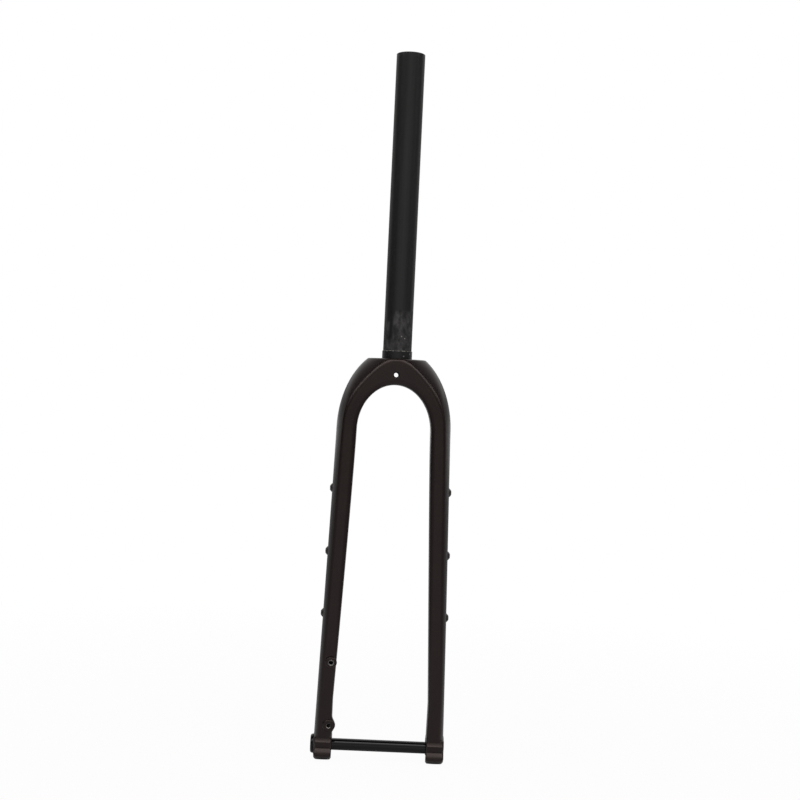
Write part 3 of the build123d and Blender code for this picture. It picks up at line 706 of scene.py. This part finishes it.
# Light: white to the camera all round, soft room light, and shiny surfaces see a grey room with dark sides
light = {
    "room": 0.45,
    "shiny": [(0.0, 1.0), (0.05, 0.93), (0.1, 0.55), (0.2, 0.06), (0.55, 0.06), (0.66, 0.38), (0.76, 0.88), (1.0, 1.0)],
    "fallHeight": (-0.1, 0.4), "fall": (1.0, 0.5), "ahead": (0.55, 0.3),
    "band": [(0.505, 0.0), (0.515, 1.0), (0.615, 1.0), (0.64, 0.0)],
    "bandBehind": 0.35, "behind": (0.55, 0.62),
    "bandRight": 0.5, "right": [(0.24, 0.0), (0.28, 1.0), (0.45, 1.0), (0.5, 0.0)],
    "strip": [(22, 0.0), (32, 0.02), (40, 0.07), (50, 0.15), (57, 0.23), (59.5, 0.38), (65.5, 0.4), (67, 0.0)],
    "stripGlow": 12.0, "stripEnds": [(0.0, 0.0), (0.04, 0.0), (0.07, 1.0), (0.93, 1.0), (0.96, 0.0)],
    "lamps": {
        "overhead": {"place": (0.0, -0.83, 1.4), "aim": (0, 0.03, -0.4), "size": (4.0, 0.3), "power": 24.0},
        "fill": {"place": (0.0, -2.6, 0.9), "aim": (0, 0, -0.1), "size": (2.6, 2.6), "power": 18.0},
    },
}
world = bpy.data.worlds.new("studio")
world.use_nodes = True
bpy.context.scene.world = world
tree = world.node_tree
tree.nodes.clear()
ray = addNode(tree, "ShaderNodeLightPath")
sky = addNode(tree, "ShaderNodeTexCoord").outputs["Generated"]
direction = addNode(tree, "ShaderNodeSeparateXYZ", {}, {"Vector": sky})

# the walls' grey goes by depth, 0 on the camera's side and 1 on the far side, and on the first it falls with height
depth = addNode(tree, "ShaderNodeMapRange", {"From Min": -1.0, "From Max": 1.0}, {"Value": direction.outputs["Y"]})
walls = addNode(tree, "ShaderNodeValToRGB", {"stops": greys(light["shiny"])}, {"Fac": depth.outputs["Result"]})
fall = addNode(tree, "ShaderNodeMapRange", {"From Min": light["fallHeight"][0], "From Max": light["fallHeight"][1],
                                            "To Min": light["fall"][0], "To Max": light["fall"][1]},
               {"Value": direction.outputs["Z"]})
ahead = addNode(tree, "ShaderNodeMapRange", {"From Min": light["ahead"][0], "From Max": light["ahead"][1]},
                {"Value": depth.outputs["Result"]})
walls = addNode(tree, "ShaderNodeMix", {"data_type": "RGBA", "blend_type": "MULTIPLY"},
                {0: ahead.outputs["Result"], 6: walls.outputs["Color"], 7: fall.outputs["Result"]})

# a level band just over the horizon, on the far side and at the right
height = addNode(tree, "ShaderNodeMapRange", {"From Min": -1.0, "From Max": 1.0}, {"Value": direction.outputs["Z"]})
band = addNode(tree, "ShaderNodeValToRGB", {"stops": greys(light["band"])}, {"Fac": height.outputs["Result"]})
behind = addNode(tree, "ShaderNodeMapRange", {"From Min": light["behind"][0], "From Max": light["behind"][1]},
                 {"Value": depth.outputs["Result"]})
share = addNode(tree, "ShaderNodeMath", {"operation": "MULTIPLY"},
                {0: band.outputs["Color"], 1: behind.outputs["Result"]})
walls = addNode(tree, "ShaderNodeMix", {"data_type": "RGBA", 7: (light["bandBehind"],) * 3 + (1,)},
                {0: share.outputs["Value"], 6: walls.outputs[2]})
right = addNode(tree, "ShaderNodeValToRGB", {"stops": greys(light["right"])}, {"Fac": depth.outputs["Result"]})
onRight = addNode(tree, "ShaderNodeMath", {"operation": "GREATER_THAN", 1: 0.0}, {0: direction.outputs["X"]})
share = addNode(tree, "ShaderNodeMath", {"operation": "MULTIPLY"},
                {0: band.outputs["Color"], 1: right.outputs["Color"]})
share = addNode(tree, "ShaderNodeMath", {"operation": "MULTIPLY"},
                {0: share.outputs["Value"], 1: onRight.outputs["Value"]})
walls = addNode(tree, "ShaderNodeMix", {"data_type": "RGBA", 7: (light["bandRight"],) * 3 + (1,)},
                {0: share.outputs["Value"], 6: walls.outputs[2]})

# a long strip across, by its angle over the horizon on the camera's side, brightest near its upper edge
front = addNode(tree, "ShaderNodeMath", {"operation": "MULTIPLY", 1: -1.0}, {0: direction.outputs["Y"]})
rise = addNode(tree, "ShaderNodeMath", {"operation": "ARCTAN2"},
               {0: direction.outputs["Z"], 1: front.outputs["Value"]})
rise = addNode(tree, "ShaderNodeMapRange", {"From Min": 0.0, "From Max": math.pi}, {"Value": rise.outputs["Value"]})
strip = addNode(tree, "ShaderNodeValToRGB", {"stops": greys((angle / 180, v) for angle, v in light["strip"])},
                {"Fac": rise.outputs["Result"]})
across = addNode(tree, "ShaderNodeMapRange", {"From Min": -1.0, "From Max": 1.0}, {"Value": direction.outputs["X"]})
ends = addNode(tree, "ShaderNodeValToRGB", {"stops": greys(light["stripEnds"])}, {"Fac": across.outputs["Result"]})
share = addNode(tree, "ShaderNodeMath", {"operation": "MULTIPLY"},
                {0: strip.outputs["Color"], 1: ends.outputs["Color"]})
walls = addNode(tree, "ShaderNodeMix", {"data_type": "RGBA", "blend_type": "ADD", 7: (light["stripGlow"],) * 3 + (1,)},
                {0: share.outputs["Value"], 6: walls.outputs[2]})

room = addNode(tree, "ShaderNodeBackground", {"Color": (1, 1, 1, 1), "Strength": light["room"]})
mirrored = addNode(tree, "ShaderNodeBackground", {"Strength": 1.0}, {"Color": walls.outputs[2]})
backdrop = addNode(tree, "ShaderNodeBackground", {"Color": (1, 1, 1, 1), "Strength": 1.0})
mixed = addNode(tree, "ShaderNodeMixShader", {},
                {0: ray.outputs["Is Glossy Ray"], 1: room.outputs["Background"], 2: mirrored.outputs["Background"]})
clear = addNode(tree, "ShaderNodeMath", {"operation": "MAXIMUM"},
                {0: ray.outputs["Is Camera Ray"], 1: ray.outputs["Is Transmission Ray"]})
mixed = addNode(tree, "ShaderNodeMixShader", {},
                {0: clear.outputs["Value"], 1: mixed.outputs["Shader"], 2: backdrop.outputs["Background"]})
addNode(tree, "ShaderNodeOutputWorld", {}, {"Surface": mixed.outputs["Shader"]})
for name, lamp in light["lamps"].items():
    data = bpy.data.lights.new(name, "AREA")
    data.shape, data.size, data.size_y, data.energy = "RECTANGLE", *lamp["size"], lamp["power"]
    holder = bpy.data.objects.new(name, data)
    bpy.context.scene.collection.objects.link(holder)
    holder.location = lamp["place"]
    holder.rotation_mode = "QUATERNION"
    holder.rotation_quaternion = (Vector(lamp["aim"]) - holder.location).to_track_quat("-Z", "Y")
    holder.visible_camera = holder.visible_glossy = False
bpy.context.scene.view_settings.view_transform = "Standard"
print("camera, floor and light set")
